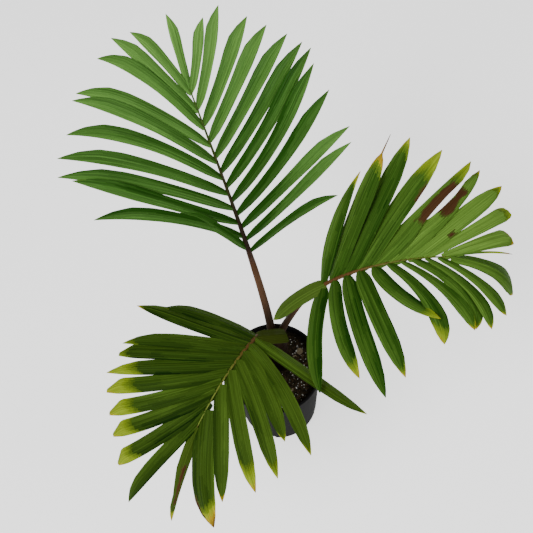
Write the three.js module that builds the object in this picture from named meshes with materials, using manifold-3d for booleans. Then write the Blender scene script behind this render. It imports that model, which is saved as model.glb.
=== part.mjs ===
// Young bottle palm in a round nursery pot.
// A short stem of leaf sheaths stands in the soil and carries three pinnate fronds.
// Units are millimetres and +Z is up. The origin is the centre of the pot's flat underside,
// X runs to the right and Y away from the viewer.

import * as THREE from "three";
import { mergeVertices } from "three/addons/utils/BufferGeometryUtils.js";
import Module from "manifold-3d";

const wasm = await Module();
wasm.setup();

// Clearance between neighbouring pieces
const GAP = 0.3;

// Pot: a tapered wall with a rolled lip, and drain slots round its foot
const POT_HEIGHT = 184;
const POT_LIP_RADIUS = 76;
const POT_LIP_HEIGHT = 6;
const POT_LIP_PROUD = 2;
const POT_FOOT_RADIUS = 66;
const POT_FOOT_ROUND = 3;
const POT_WALL = 1.6;
const POT_FLOOR = 2.4;
const POT_SIDES = 64;
const DRAIN_COUNT = 4;
const DRAIN_BEARING = -20;
const DRAIN_WIDTH = 16;
const DRAIN_HEIGHT = 11;
const DRAIN_REACH = 12;

// Soil fills the pot to a little below its lip
const SOIL_TOP = 171;
const SOIL_CROWN = 2;
const SOIL_CROWN_REACH = 0.8;

// Stem: flared where it leaves the soil, lightly swollen above, flat on top
const STEM_FOOT = new THREE.Vector2(13, 14);
const STEM_HEAD = new THREE.Vector2(12, 13);
const STEM_TOP = 300;
const STEM_SIDES = 20;
const STEM_RADIUS = [[0, 18], [0.05, 15.6], [0.25, 15.2], [0.5, 13.6], [0.8, 13], [1, 14.2]];

// Seats of the petioles on the stem's top
const SEAT_RADIUS = 7.4;

// Petiole and rib share one taper; the radius is keyed on the length from the seat
const RIB_RADIUS = [[0, 6.4], [0.12, 5.7], [0.38, 4.5], [0.5, 3.3], [0.7, 2], [1, 0.9]];
const RIB_SIDES = 8;
const PETIOLE_STEPS = 10;
const RIB_STEPS = 16;
const COURSE_STEPS = 60;

// Leaflet: a strap folded down from a low ridge, narrow at its root
const LEAFLET_STEPS = 9;
const LEAFLET_SUBSTEPS = 3;
// Thickness as a share of the length, and at most this share of the half width
const LEAFLET_THICKNESS = 0.011;
const LEAFLET_FULLEST = 1.2;
// Share of the full width along a leaflet, 1 where it is widest
const OUTLINES = {
  strap: [
    [0, 0.34], [0.03, 0.62], [0.08, 0.86], [0.16, 0.97], [0.3, 1], [0.6, 1], [0.74, 0.92], [0.86, 0.68],
    [1, 0.04],
  ],
  slender: [
    [0, 0.3], [0.05, 0.5], [0.12, 0.68], [0.2, 0.75], [0.45, 0.84], [0.68, 1], [0.8, 0.94], [0.9, 0.6],
    [1, 0.04],
  ],
  tapered: [
    [0, 0.3], [0.05, 0.55], [0.15, 0.8], [0.3, 0.98], [0.42, 1], [0.6, 0.9], [0.75, 0.66], [0.88, 0.36],
    [1, 0.04],
  ],
  broad: [[0, 0.6], [0.03, 0.8], [0.1, 0.96], [0.2, 1], [0.6, 1], [0.76, 0.9], [0.88, 0.62], [1, 0.04]],
  blunt: [[0, 0.6], [0.03, 0.8], [0.1, 0.96], [0.2, 1], [0.86, 1], [1, 0.26]],
  waisted: [
    [0, 0.34], [0.03, 0.62], [0.1, 0.9], [0.2, 1], [0.42, 0.98], [0.56, 0.74], [0.7, 0.52], [0.84, 0.5],
    [1, 0.04],
  ],
  shrunk: [
    [0, 0.34], [0.03, 0.62], [0.1, 0.9], [0.2, 1], [0.32, 0.94], [0.44, 0.7], [0.56, 0.6], [0.7, 0.52],
    [0.84, 0.5], [1, 0.04],
  ],
  club: [[0, 0.3], [0.08, 0.46], [0.3, 0.6], [0.5, 0.76], [0.66, 0.95], [0.76, 1], [0.88, 0.8], [1, 0.04]],
  torn: [[0, 0.3], [0.06, 0.45], [0.3, 0.62], [0.6, 0.84], [0.86, 1], [0.95, 0.9], [1, 0.66]],
  stub: [[0, 0.5], [0.1, 0.8], [0.3, 1], [0.9, 1], [1, 0.84]],
};
const LEAFLET_FOLD = [[0, 0.5], [0.2, 0.24], [1, 0.16]];
// Width of the leaflets of one row, from the foot of the frond to its end
const ROW_WIDTH = [[0, 0.8], [0.15, 1], [0.8, 1], [1, 0.75]];
const BOW_POWER = 1.5;
// Edges shorter than this are closed up after leaflets are joined to their rib
const UNION_GRAIN = 0.02;
// Each leaflet's rear edge is raised over its neighbour's fore edge
const SHINGLE = 12;

// Fronds. seat and heading are bearings in degrees from X, turn is the change of heading along the rib,
// rise the rib's slope above level and stout its thickness as a share of the common one. perch is how far
// the leaflets' roots lie above the rib's centre, as a share of its radius. Every value keyed in pairs
// runs from the foot of a frond or row of leaflets (0) to its end (1). at is a leaflet's place
// along the blade, spread its angle from the rib and lift its angle out of the blade. sag bows it down,
// sweep bows it along the rib, and lean moves its point towards its rear edge. spread, length and sweep
// name the leaflets one by one from the foot, and odd holds what is special to one of them.
const FRONDS = {
  back: {
    seat: 158, heading: 112.3, turn: -6.3, petiole: 170, blade: 246,
    stout: [[0, 1]], perch: 0.2, rise: [[0, 88], [0.46, 67], [1, 40]],
    sides: [
      {
        hand: -1, at: [[0, 0.09], [0.73, 0.8], [0.91, 0.97], [1, 1]],
        width: 17, outline: "slender", lean: 0.8,
        spread: [26, 40, 44, 44, 43, 38, 36, 37, 25, 27, 19, -6],
        length: [130, 218, 235, 235, 224, 206, 192, 175, 152, 129, 99, 88],
        sweep: [0, -0.1, 0.3, 0, -0.1, -0.3, -0.2, -0.3, -0.5, 0, -0.3, -0.3],
        lift: [[0, 22], [1, 20]], sag: [[0, 0.5], [1, 0.15]],
      },
      {
        hand: 1, at: [[0, 0.07], [1, 0.98]], width: 17.5, outline: "slender", lean: 0.8,
        spread: [54, 55, 55, 54, 53, 51, 50, 48, 45, 43, 36, 33],
        length: [143, 189, 190, 196, 198, 196, 182, 167, 150, 134, 119, 85],
        sweep: [0, 0.4, 0.3, 0.7, 0.9, 0.6, 0.4, 0.3, 0.3, 0.4, 0.7, 0.7],
        lift: [[0, 24], [1, 20]], sag: [[0, 0.5], [1, 0.25]],
      },
    ],
    strays: [],
  },
  right: {
    seat: 5, heading: -1.6, turn: -5.3, petiole: 148, blade: 185,
    stout: [[0, 1], [0.4, 0.85]], perch: 0.5, rise: [[0, 74.5], [0.3, 68], [0.48, 46.5], [1, -4]],
    sides: [
      {
        hand: -1, at: [[0, 0.04], [0.13, 0.13], [1, 0.94]], width: 29, outline: "strap", lean: 0,
        spread: [47, 40, 41, 39, 31, 32, 30, 25, 18],
        length: [163, 185, 195, 185, 183, 173, 166, 141, 109],
        sweep: [0.7, 0, -0.1, 0, -0.17, -0.63, -0.4, -0.5, -0.5],
        lift: [[0, 28], [1, 12]], sag: [[0, 0.4], [1, 0.6]],
        odd: {
          0: { outline: "tapered", width: 24 }, 3: { width: 28 },
          4: { outline: "shrunk", width: 28, lean: 0.8 }, 5: { outline: "shrunk", width: 28, lean: -0.9 },
          6: { width: 24 }, 7: { outline: "torn", width: 21 }, 8: { outline: "torn", width: 24, lean: -0.6 },
        },
      },
      {
        hand: 1, at: [[0, 0.05], [0.5, 0.58], [1, 1]], width: 23, outline: "strap", lean: 0.3,
        spread: [110, 89, 79, 73, 63, 47, 40, 35, 38, 35, 12],
        length: [144, 142, 173, 155, 114, 132, 131, 129, 128, 116, 112],
        sweep: [0.9, 0.8, 0.4, 0.3, 1.3, -0.5, -0.3, -0.7, -0.5, -0.2, -0.7],
        lift: [[0, 8], [1, 5]], sag: [[0, 0.6], [1, 1.1]],
        odd: {
          0: { width: 25 }, 4: { width: 19, twist: 20 }, 5: { outline: "club", width: 24, twist: 25 },
          6: { outline: "club", width: 17 }, 7: { outline: "club", width: 24 },
          8: { outline: "club", width: 17 }, 9: { outline: "club", width: 19 },
          10: { outline: "club", width: 34 },
        },
      },
    ],
    // One leaflet at the foot folds back over the petiole
    strays: [
      {
        hand: 1, at: 0.08, width: 22, outline: "strap", spread: 155, length: 103, sweep: 0.2,
        lift: 60, sag: 1.2,
      },
    ],
  },
  front: {
    seat: 260, heading: 237.4, turn: -7.3, petiole: 97, blade: 174,
    stout: [[0, 0.7]], perch: 0.8, rise: [[0, 77.5], [0.3, 64], [0.4, 43], [1, -34]],
    sides: [
      {
        hand: -1, at: [[0, 0.13], [0.67, 0.51], [0.83, 0.63], [1, 0.84]],
        width: 21, outline: "broad", lean: 0.3,
        spread: [79, 63, 60, 52, 40, 33, 23],
        length: [179, 178, 135, 161, 157, 144, 158],
        sweep: [-0.1, 0.7, 0.6, 0.3, -0.1, 0.2, -0.6],
        lift: [[0, -2], [1, 2]], sag: [[0, 0.3], [1, 0.6]],
        odd: { 0: { width: 21 }, 5: { width: 21 }, 6: { width: 33 } },
      },
      {
        hand: 1, at: [[0, 0.11], [0.9, 0.86], [1, 0.99]], width: 21, outline: "broad", lean: -0.8,
        spread: [69, 65, 56, 54, 51, 47, 41, 35, 26, 17, -4],
        length: [127, 157, 159, 156, 165, 161, 157, 156, 165, 178, 150],
        sweep: [0.1, -0.3, 0, -0.2, -0.3, -0.4, -0.5, -0.6, -0.7, -0.4, 0],
        lift: [[0, 12], [1, 6]], sag: [[0, 0.3], [1, 0.7]],
        odd: {
          0: { width: 24 }, 1: { width: 25 }, 3: { outline: "blunt" }, 5: { outline: "blunt" },
          6: { outline: "blunt" }, 7: { outline: "blunt" }, 8: { outline: "blunt" },
          10: { width: 15, outline: "waisted" },
        },
      },
    ],
    // One short leaflet at the foot lies across the head of the stem
    strays: [
      {
        hand: -1, at: 0.12, width: 26, outline: "stub", spread: 134, length: 46, sweep: 0,
        lift: 12, sag: 0.2,
      },
    ],
  },
};

const UP = new THREE.Vector3(0, 0, 1);
const radians = THREE.MathUtils.degToRad;

// Value at t on straight lines between [t, value] keys
function keyed(keys, t) {
  for (let k = 1; k < keys.length; k += 1) {
    const [t0, v0] = keys[k - 1];
    const [t1, v1] = keys[k];
    if (t <= t1) {
      return THREE.MathUtils.mapLinear(Math.max(t, t0), t0, t1, v0, v1);
    }
  }
  return keys[keys.length - 1][1];
}

// Closed skin through rings of points; each ring turns anticlockwise about the way the rings run
function loft(rings) {
  const count = rings[0].length;
  const positions = rings.flat().flatMap((point) => point.toArray());
  const index = [];
  for (let ring = 0; ring < rings.length - 1; ring += 1) {
    for (let side = 0; side < count; side += 1) {
      const a = ring * count + side;
      const b = ring * count + ((side + 1) % count);
      index.push(a, b, b + count, a, b + count, a + count);
    }
  }
  const last = (rings.length - 1) * count;
  for (let side = 1; side < count - 1; side += 1) {
    index.push(0, side + 1, side);
    index.push(last, last + side, last + side + 1);
  }
  const geometry = new THREE.BufferGeometry();
  geometry.setAttribute("position", new THREE.Float32BufferAttribute(positions, 3));
  geometry.setIndex(index);
  return geometry;
}

// three.js geometry to a solid and back
function solidOf(geometry) {
  const bare = geometry.clone();
  bare.deleteAttribute("normal");
  bare.deleteAttribute("uv");
  const merged = mergeVertices(bare, 1e-4);
  const mesh = new wasm.Mesh({
    numProp: 3,
    vertProperties: new Float32Array(merged.attributes.position.array),
    triVerts: new Uint32Array(merged.index.array),
  });
  mesh.merge();
  return new wasm.Manifold(mesh);
}

function geometryOf(solid) {
  const mesh = solid.getMesh();
  const geometry = new THREE.BufferGeometry();
  geometry.setAttribute("position", new THREE.BufferAttribute(new Float32Array(mesh.vertProperties), 3));
  geometry.setIndex(new THREE.BufferAttribute(new Uint32Array(mesh.triVerts), 1));
  return geometry;
}

// Pot

function potWallRadius(z) {
  return THREE.MathUtils.mapLinear(z, 0, POT_HEIGHT, POT_FOOT_RADIUS, POT_LIP_RADIUS - POT_LIP_PROUD);
}

function potGeometry() {
  const lipFoot = POT_HEIGHT - POT_LIP_HEIGHT;
  const profile = [
    [0, 0],
    [POT_FOOT_RADIUS - POT_FOOT_ROUND, 0],
    [potWallRadius(POT_FOOT_ROUND), POT_FOOT_ROUND],
    [potWallRadius(lipFoot), lipFoot],
    [POT_LIP_RADIUS, lipFoot + 1],
    [POT_LIP_RADIUS, POT_HEIGHT - 1],
    [POT_LIP_RADIUS - 1, POT_HEIGHT],
    [potWallRadius(POT_HEIGHT) - POT_WALL, POT_HEIGHT],
    [potWallRadius(POT_FLOOR) - POT_WALL, POT_FLOOR],
    [0, POT_FLOOR],
  ];
  const lathe = new THREE.LatheGeometry(profile.map(([r, z]) => new THREE.Vector2(r, z)), POT_SIDES);
  lathe.rotateX(Math.PI / 2);
  let solid = solidOf(lathe);
  for (let k = 0; k < DRAIN_COUNT; k += 1) {
    const slot = new THREE.BoxGeometry(2 * DRAIN_REACH, DRAIN_WIDTH, 2 * DRAIN_HEIGHT);
    slot.translate(POT_FOOT_RADIUS, 0, 0);
    slot.rotateZ(radians(DRAIN_BEARING + (k * 360) / DRAIN_COUNT));
    solid = solid.subtract(solidOf(slot));
  }
  return geometryOf(solid);
}

// Soil

function soilGeometry() {
  const inside = (z) => potWallRadius(z) - POT_WALL - GAP;
  const foot = POT_FLOOR + GAP;
  const profile = [
    [0, foot],
    [inside(foot), foot],
    [inside(SOIL_TOP - SOIL_CROWN), SOIL_TOP - SOIL_CROWN],
    [SOIL_CROWN_REACH * inside(SOIL_TOP), SOIL_TOP],
    [0, SOIL_TOP],
  ];
  const lathe = new THREE.LatheGeometry(profile.map(([r, z]) => new THREE.Vector2(r, z)), POT_SIDES / 2);
  lathe.rotateX(Math.PI / 2);
  return lathe;
}

// Stem

function stemGeometry() {
  const foot = SOIL_TOP + GAP;
  const rings = STEM_RADIUS.map(([t, radius]) => {
    const centre = STEM_FOOT.clone().lerp(STEM_HEAD, t);
    const z = THREE.MathUtils.lerp(foot, STEM_TOP, t);
    return Array.from({ length: STEM_SIDES }, (_, side) => {
      const angle = (side / STEM_SIDES) * 2 * Math.PI;
      const x = centre.x + radius * Math.cos(angle);
      return new THREE.Vector3(x, centre.y + radius * Math.sin(angle), z);
    });
  });
  return loft(rings);
}

// Course of a frond's petiole and rib from its seat: points and directions at even steps

function ribCourse(frond) {
  const total = frond.petiole + frond.blade;
  const seat = radians(frond.seat);
  const point = new THREE.Vector3(
    STEM_HEAD.x + SEAT_RADIUS * Math.cos(seat),
    STEM_HEAD.y + SEAT_RADIUS * Math.sin(seat),
    STEM_TOP + GAP,
  );
  const direction = (t) => {
    const rise = radians(keyed(frond.rise, t));
    const heading = radians(frond.heading + frond.turn * t);
    const level = Math.cos(rise);
    return new THREE.Vector3(level * Math.cos(heading), level * Math.sin(heading), Math.sin(rise));
  };
  const points = [point.clone()];
  for (let k = 0; k < COURSE_STEPS; k += 1) {
    point.addScaledVector(direction((k + 0.5) / COURSE_STEPS), total / COURSE_STEPS);
    points.push(point.clone());
  }
  return (t) => {
    const place = THREE.MathUtils.clamp(t, 0, 1) * COURSE_STEPS;
    const k = Math.min(Math.floor(place), COURSE_STEPS - 1);
    const along = direction(t);
    const right = along.clone().cross(UP).normalize();
    return {
      point: points[k].clone().lerp(points[k + 1], place - k),
      along,
      right,
      normal: right.clone().cross(along),
    };
  };
}

function ribRing(place, radius) {
  return Array.from({ length: RIB_SIDES }, (_, side) => {
    const angle = (side / RIB_SIDES) * 2 * Math.PI;
    return place.point.clone()
      .addScaledVector(place.right, -radius * Math.cos(angle))
      .addScaledVector(place.normal, radius * Math.sin(angle));
  });
}

function ribRadius(frond, t) {
  return keyed(RIB_RADIUS, t) * keyed(frond.stout, t);
}

function petioleGeometry(frond) {
  const course = ribCourse(frond);
  const end = frond.petiole / (frond.petiole + frond.blade);
  const rings = [];
  for (let k = 0; k <= PETIOLE_STEPS; k += 1) {
    const t = (end * k) / PETIOLE_STEPS;
    const ring = ribRing(course(t), ribRadius(frond, t));
    if (k === 0) {
      ring.forEach((point) => point.setZ(STEM_TOP + GAP));
    }
    rings.push(ring);
  }
  return loft(rings);
}

// Leaflets

function leafletGeometry(course, frond, leaflet) {
  const place = (frond.petiole + frond.blade * leaflet.at) / (frond.petiole + frond.blade);
  const root = course(place);
  const spread = radians(leaflet.spread);
  const lift = radians(leaflet.lift);
  const start = root.along.clone().multiplyScalar(Math.cos(spread))
    .addScaledVector(root.right, Math.sin(spread) * Math.cos(lift) * leaflet.hand)
    .addScaledVector(root.normal, Math.sin(spread) * Math.sin(lift));
  const direction = (t) => start.clone()
    .addScaledVector(UP, -leaflet.sag * t ** BOW_POWER)
    .addScaledVector(root.along, leaflet.sweep * t ** BOW_POWER)
    .normalize();
  const substeps = LEAFLET_STEPS * LEAFLET_SUBSTEPS;
  const thickness = leaflet.length * LEAFLET_THICKNESS;
  const point = root.point.clone().addScaledVector(root.normal, frond.perch * ribRadius(frond, place));
  const rings = [];
  for (let k = 0; k <= substeps; k += 1) {
    const t = k / substeps;
    if (k % LEAFLET_SUBSTEPS === 0) {
      rings.push(leafletRing(root, leaflet, point, direction(t), t, thickness));
    }
    point.addScaledVector(direction(t + 0.5 / substeps), leaflet.length / substeps);
  }
  return loft(rings);
}

function leafletRing(root, leaflet, point, along, t, thickness) {
  const flat = root.normal.clone().addScaledVector(along, -root.normal.dot(along)).normalize();
  const across = flat.clone().cross(along).multiplyScalar(leaflet.hand);
  const roll = radians(SHINGLE + leaflet.twist * t);
  const normal = flat.clone().multiplyScalar(Math.cos(roll)).addScaledVector(across, Math.sin(roll));
  const fore = across.clone().multiplyScalar(Math.cos(roll)).addScaledVector(flat, -Math.sin(roll));
  const outline = OUTLINES[leaflet.outline];
  const half = (leaflet.width / 2) * keyed(outline, t);
  const drop = half * keyed(LEAFLET_FOLD, t);
  const [widest] = outline.find(([, share]) => share === 1);
  const shift = t > widest ? leaflet.lean * (leaflet.width / 2 - half) : 0;
  const core = Math.min(thickness, half * LEAFLET_FULLEST) / 2;
  const place = (sideways, height) => point.clone()
    .addScaledVector(fore, sideways - shift)
    .addScaledVector(normal, height);
  const ring = [place(0, core), place(half, -drop), place(0, -core), place(-half, -drop)];
  return leaflet.hand > 0 ? ring.reverse() : ring;
}

function leafletsOf(frond) {
  const leaflets = frond.sides.flatMap((side) => side.spread.map((spread, k) => {
    const t = k / (side.spread.length - 1);
    return {
      hand: side.hand,
      at: keyed(side.at, t),
      spread,
      length: side.length[k],
      sweep: side.sweep[k],
      lift: keyed(side.lift, t),
      sag: keyed(side.sag, t),
      lean: side.lean,
      width: side.width * keyed(ROW_WIDTH, t),
      outline: side.outline,
      twist: 0,
      ...side.odd?.[k],
    };
  }));
  const strays = frond.strays.map((stray) => ({ lean: 0, twist: 0, ...stray }));
  return [...leaflets, ...strays];
}

function frondGeometry(frond) {
  const course = ribCourse(frond);
  const total = frond.petiole + frond.blade;
  const start = (frond.petiole + GAP) / total;
  const rings = [];
  for (let k = 0; k <= RIB_STEPS; k += 1) {
    const t = THREE.MathUtils.lerp(start, 1, k / RIB_STEPS);
    rings.push(ribRing(course(t), ribRadius(frond, t)));
  }
  const pieces = leafletsOf(frond).map((leaflet) => solidOf(leafletGeometry(course, frond, leaflet)));
  const joined = wasm.Manifold.union([solidOf(loft(rings)), ...pieces]).simplify(UNION_GRAIN);
  // The outer skin alone, so that no pocket stays sealed in among the roots of the leaflets
  return geometryOf(joined.decompose().reduce((a, b) => (b.volume() > a.volume() ? b : a)));
}

// Materials

function finish(color, roughness) {
  return new THREE.MeshStandardMaterial({ color, roughness, metalness: 0 });
}

const plastic = finish(0x3a3a3c, 0.6);
const pottingSoil = finish(0x2b1f16, 0.95);
const sheath = finish(0x5b4030, 0.6);
const petioleSkin = finish(0x6b4534, 0.5);
const foliage = { back: finish(0x3f7a2c, 0.45), right: finish(0x47792a, 0.4), front: finish(0x3c6322, 0.45) };

// Assembly

function piece(name, geometry, material) {
  const mesh = new THREE.Mesh(geometry, material);
  mesh.name = name;
  return mesh;
}

const group = new THREE.Group();
group.add(piece("pot", potGeometry(), plastic));
group.add(piece("soil", soilGeometry(), pottingSoil));
group.add(piece("stem", stemGeometry(), sheath));
for (const [place, frond] of Object.entries(FRONDS)) {
  group.add(piece(`petiole_${place}`, petioleGeometry(frond), petioleSkin));
  group.add(piece(`frond_${place}`, frondGeometry(frond), foliage[place]));
}

export default group;
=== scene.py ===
"""Young bottle palm in a nursery pot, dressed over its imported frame.

The fronds repeat the rule of the part's source in millimetres, with finer leaflets, and every mesh is
brought to metres when it is made. +X is right, +Y is away from the viewer and the origin is the centre
of the pot's underside.
"""
import math
import random
import bmesh
import bpy
from mathutils import Matrix, Vector, noise


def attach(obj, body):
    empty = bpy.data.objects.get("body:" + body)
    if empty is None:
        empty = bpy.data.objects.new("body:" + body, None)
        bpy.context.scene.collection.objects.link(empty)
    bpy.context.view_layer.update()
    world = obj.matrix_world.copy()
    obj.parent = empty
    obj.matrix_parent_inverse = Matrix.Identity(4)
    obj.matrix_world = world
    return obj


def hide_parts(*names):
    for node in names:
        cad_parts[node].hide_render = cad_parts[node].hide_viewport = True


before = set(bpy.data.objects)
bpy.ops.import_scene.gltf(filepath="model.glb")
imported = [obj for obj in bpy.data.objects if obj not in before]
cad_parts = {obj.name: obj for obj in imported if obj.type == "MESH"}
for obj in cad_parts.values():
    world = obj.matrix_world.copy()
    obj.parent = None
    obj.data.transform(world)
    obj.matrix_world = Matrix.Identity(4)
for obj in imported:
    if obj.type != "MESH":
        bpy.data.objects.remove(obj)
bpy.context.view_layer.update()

MM = 0.001
UP = Vector((0, 0, 1))
# Vertices nearer to each other than this are one
MERGE = 1e-4

# Pot
POT_HEIGHT = 184
LIP_RADIUS = 76
LIP_HEIGHT = 6
LIP_PROUD = 2
LIP_ROUND = 1.1
LIP_FILLET = 0.8
UNDERLIP_OUT = 0.4
UNDERLIP_DOWN = 0.6
FOOT_RADIUS = 66
FOOT_ROUND = 3
FOOT_RING = 8
FOOT_RING_SLOPE = 1
UNDERSIDE_RISE = 1.2
WALL = 1.6
FLOOR = 2.4
FLOOR_FILLET = 3
POT_SIDES = 128
POT_CREASE = 35
# Heights of the rows of vertices outside and inside the wall
OUTER_ROWS = range(12, 176, 12)
INNER_ROWS = range(168, 8, -16)
DRAIN_COUNT = 4
DRAIN_BEARING = -20
DRAIN_WIDTH = 16
DRAIN_HEIGHT = 11
DRAIN_REACH = 12
DRAIN_CORNER = 4
DRAIN_CORNER_STEPS = 5

# Soil
SOIL_TOP = 171
SOIL_LEVEL = SOIL_TOP - 1.5
SOIL_RIM = SOIL_TOP - 2
SOIL_SHOULDER = 6
SOIL_REACH = 69
SOIL_SIDES = 180
SOIL_RINGS = 60
# Lumps of its loose surface: height, width, and the layer of the noise that they come from
SOIL_LUMPS = ((2.2, 14, 3), (1.3, 5, 9), (0.8, 2.2, 5))
# The surface falls towards the wall over this share of its reach, by this much
SOIL_EDGE = 0.2
SOIL_EDGE_DROP = 2.5
# Dark colour, light colour and roughness of what the mix is made of
SOIL_SKINS = {
    "potting_mix": ((0.01, 0.008, 0.005), (0.05, 0.036, 0.02), 0.95),
    "bark": ((0.022, 0.014, 0.008), (0.1, 0.06, 0.03), 0.8),
    "wood_chip": ((0.2, 0.15, 0.09), (0.36, 0.29, 0.19), 0.8),
    "perlite": ((0.55, 0.54, 0.5), (0.85, 0.84, 0.8), 0.9),
}
# Skin, count, smallest size, largest size and flatness of the loose grains of each piece
GRAINS = {
    "soil_crumbs": ("potting_mix", 900, 1.2, 3.8, 0.75),
    "soil_bark": ("bark", 420, 2.6, 7.5, 0.4),
    "soil_perlite": ("perlite", 270, 1.2, 3.8, 0.85),
    "soil_chips": ("wood_chip", 22, 4, 9, 0.35),
}
GRAIN_SEED = 11
# Smallest and largest share of a grain's size
GRAIN_LENGTH = (0.8, 1.2)
GRAIN_WIDTH = (0.5, 0.9)
GRAIN_DEPTH = (0.5, 1)
GRAIN_ROUGH = (0.75, 1.15)
GRAIN_TILT = 0.5
GRAIN_PROUD = 0.15
# Place and size of the pale chips that show beside the fronds
PLACED_CHIPS = [((45, 26), 15), ((36, 19), 8), ((24, -37), 9)]

# Stem
STEM_FOOT = Vector((13, 14))
STEM_HEAD = Vector((12, 13))
STEM_TOP = 300
STEM_RADIUS = [(0, 18), (0.05, 15.6), (0.25, 15.2), (0.5, 13.6), (0.8, 13), (1, 14.2)]
STEM_SIDES = 72
STEM_RINGS = 170
STEM_SUNK = 2
# Shares of the radius: the core under the relief, its wobble, and the rounding over the head's share of
# the height. A pace is how fast the noise changes round the stem and up it.
STEM_CORE = 0.96
STEM_WOBBLE = 0.028
WOBBLE_PACE = (1.6, 5)
HEAD_SPAN = 0.1
HEAD_ROUND = 0.16
FIBRE_RISE = 0.28
FIBRE_PACE = (14, 3)
# The seam of the outer sheath climbs from this bearing, in radians, and fades out at the foot
SEAM_BEARING = 2.2
SEAM_TWIST = 1.1
SEAM_DEPTH = 0.7
SEAM_SPAN = 0.09
SEAM_FADE = 5
SCAR_PLACES = (0.2, 0.36, 0.53, 0.69, 0.84)
SCAR_RISE = 0.5
SCAR_SPAN = 0.008
# Between one solid and the next
GAP = 0.3

# Petioles and ribs
SEAT_RADIUS = 7.4
RIB_RADIUS = [(0, 6.4), (0.12, 5.7), (0.38, 4.5), (0.5, 3.3), (0.7, 2), (1, 0.9)]
RIB_SIDES = 16
# Height of the upper half over the lower half
RIB_FLATNESS = 0.85
PETIOLE_FLATNESS = 0.7
COURSE_STEPS = 60
PETIOLE_STEPS = 48
RIB_STEPS = 90

# Leaflets
LEAFLET_STEPS = 64
HALF_STEPS = 7
UNDER_STEPS = 4
# Thickness as a share of the length, and the largest share of the half width that it may have
LEAFLET_THICKNESS = 0.0045
THICKEST = 0.8
# Half width as a share of the whole, from the foot of a leaflet (0) to its tip (1)
OUTLINES = {
    "strap": [
        (0, 0.34), (0.03, 0.62), (0.08, 0.86), (0.16, 0.97), (0.3, 1), (0.6, 1), (0.74, 0.92), (0.86, 0.68),
        (0.95, 0.32), (1, 0.03),
    ],
    "slender": [
        (0, 0.3), (0.05, 0.5), (0.12, 0.68), (0.2, 0.75), (0.45, 0.84), (0.68, 1), (0.8, 0.94), (0.9, 0.6),
        (0.97, 0.22), (1, 0.03),
    ],
    "tapered": [
        (0, 0.3), (0.05, 0.55), (0.15, 0.8), (0.3, 0.98), (0.42, 1), (0.6, 0.9), (0.75, 0.66), (0.88, 0.36),
        (0.96, 0.14), (1, 0.03),
    ],
    "broad": [
        (0, 0.7), (0.03, 0.9), (0.1, 1), (0.6, 1), (0.76, 0.9), (0.88, 0.62), (0.96, 0.26), (1, 0.03),
    ],
    "tailed": [
        (0, 0.34), (0.03, 0.62), (0.08, 0.86), (0.16, 0.97), (0.3, 1), (0.6, 1), (0.72, 0.88), (0.8, 0.62),
        (0.84, 0.4), (0.87, 0.1), (1, 0.03),
    ],
    "blunt": [
        (0, 0.6), (0.03, 0.8), (0.1, 0.96), (0.2, 1), (0.86, 1), (0.9, 0.92), (1, 0.26),
    ],
    "torn": [(0, 0.3), (0.06, 0.45), (0.3, 0.62), (0.6, 0.84), (0.86, 1), (0.95, 0.9), (1, 0.66)],
    "stub": [(0, 0.5), (0.1, 0.8), (0.3, 1), (0.9, 1), (1, 0.84)],
    "waisted": [
        (0, 0.34), (0.03, 0.62), (0.1, 0.9), (0.2, 1), (0.42, 0.98), (0.56, 0.74), (0.7, 0.52), (0.84, 0.5),
        (0.94, 0.3), (1, 0.03),
    ],
    "shrunk": [
        (0, 0.34), (0.03, 0.62), (0.1, 0.9), (0.2, 1), (0.32, 0.94), (0.44, 0.7), (0.56, 0.6), (0.7, 0.52),
        (0.84, 0.5), (0.94, 0.3), (1, 0.03),
    ],
    "club": [
        (0, 0.3), (0.08, 0.46), (0.3, 0.6), (0.5, 0.76), (0.66, 0.95), (0.76, 1), (0.88, 0.8), (0.95, 0.46),
        (1, 0.03),
    ],
}
# Section: how far the edges drop below the middle as a share of the half width, the ridge on top as a
# share of the thickness, how the blade thins towards its edges, and how they ripple
FOLD = [(0, 0.5), (0.2, 0.24), (1, 0.16)]
FOLD_POWER = 0.9
RIDGE = 0.35
RIDGE_SHARPNESS = 6
MARGIN_POWER = 3
MARGIN_ANGLE = 60
RIPPLE = 0.02
RIPPLE_PACE = 9
# Width along a row, as a share of the side's width
ROW_WIDTH = [(0, 0.8), (0.15, 1), (0.8, 1), (1, 0.75)]
# Sag and sweep grow with this power of the place along a leaflet
BOW_POWER = 1.5
# Roll of every leaflet in degrees, with its rear edge up
SHINGLE = 12
# Half of the leaf width that the UV maps count in
PATTERN_HALF = 11
# Seeds of the patterns are spread over these
LEAFLET_SEEDS = 50
TONE_SEEDS = 100

# Tips: where along a leaflet each colour begins, and how far its edge slants across. A leaflet whose tip
# has no entry for a colour goes without it. A burn is a dead patch: where it begins and ends along the
# leaflet, where its middle is across (-1 rear to 1 fore) and how far it reaches from there.
FRESH = dict(lime=1)
SINGED = dict(lime=0.9, straw=0.96)
PALED = dict(lime=0.76, straw=0.98, slant=0.03)

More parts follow.
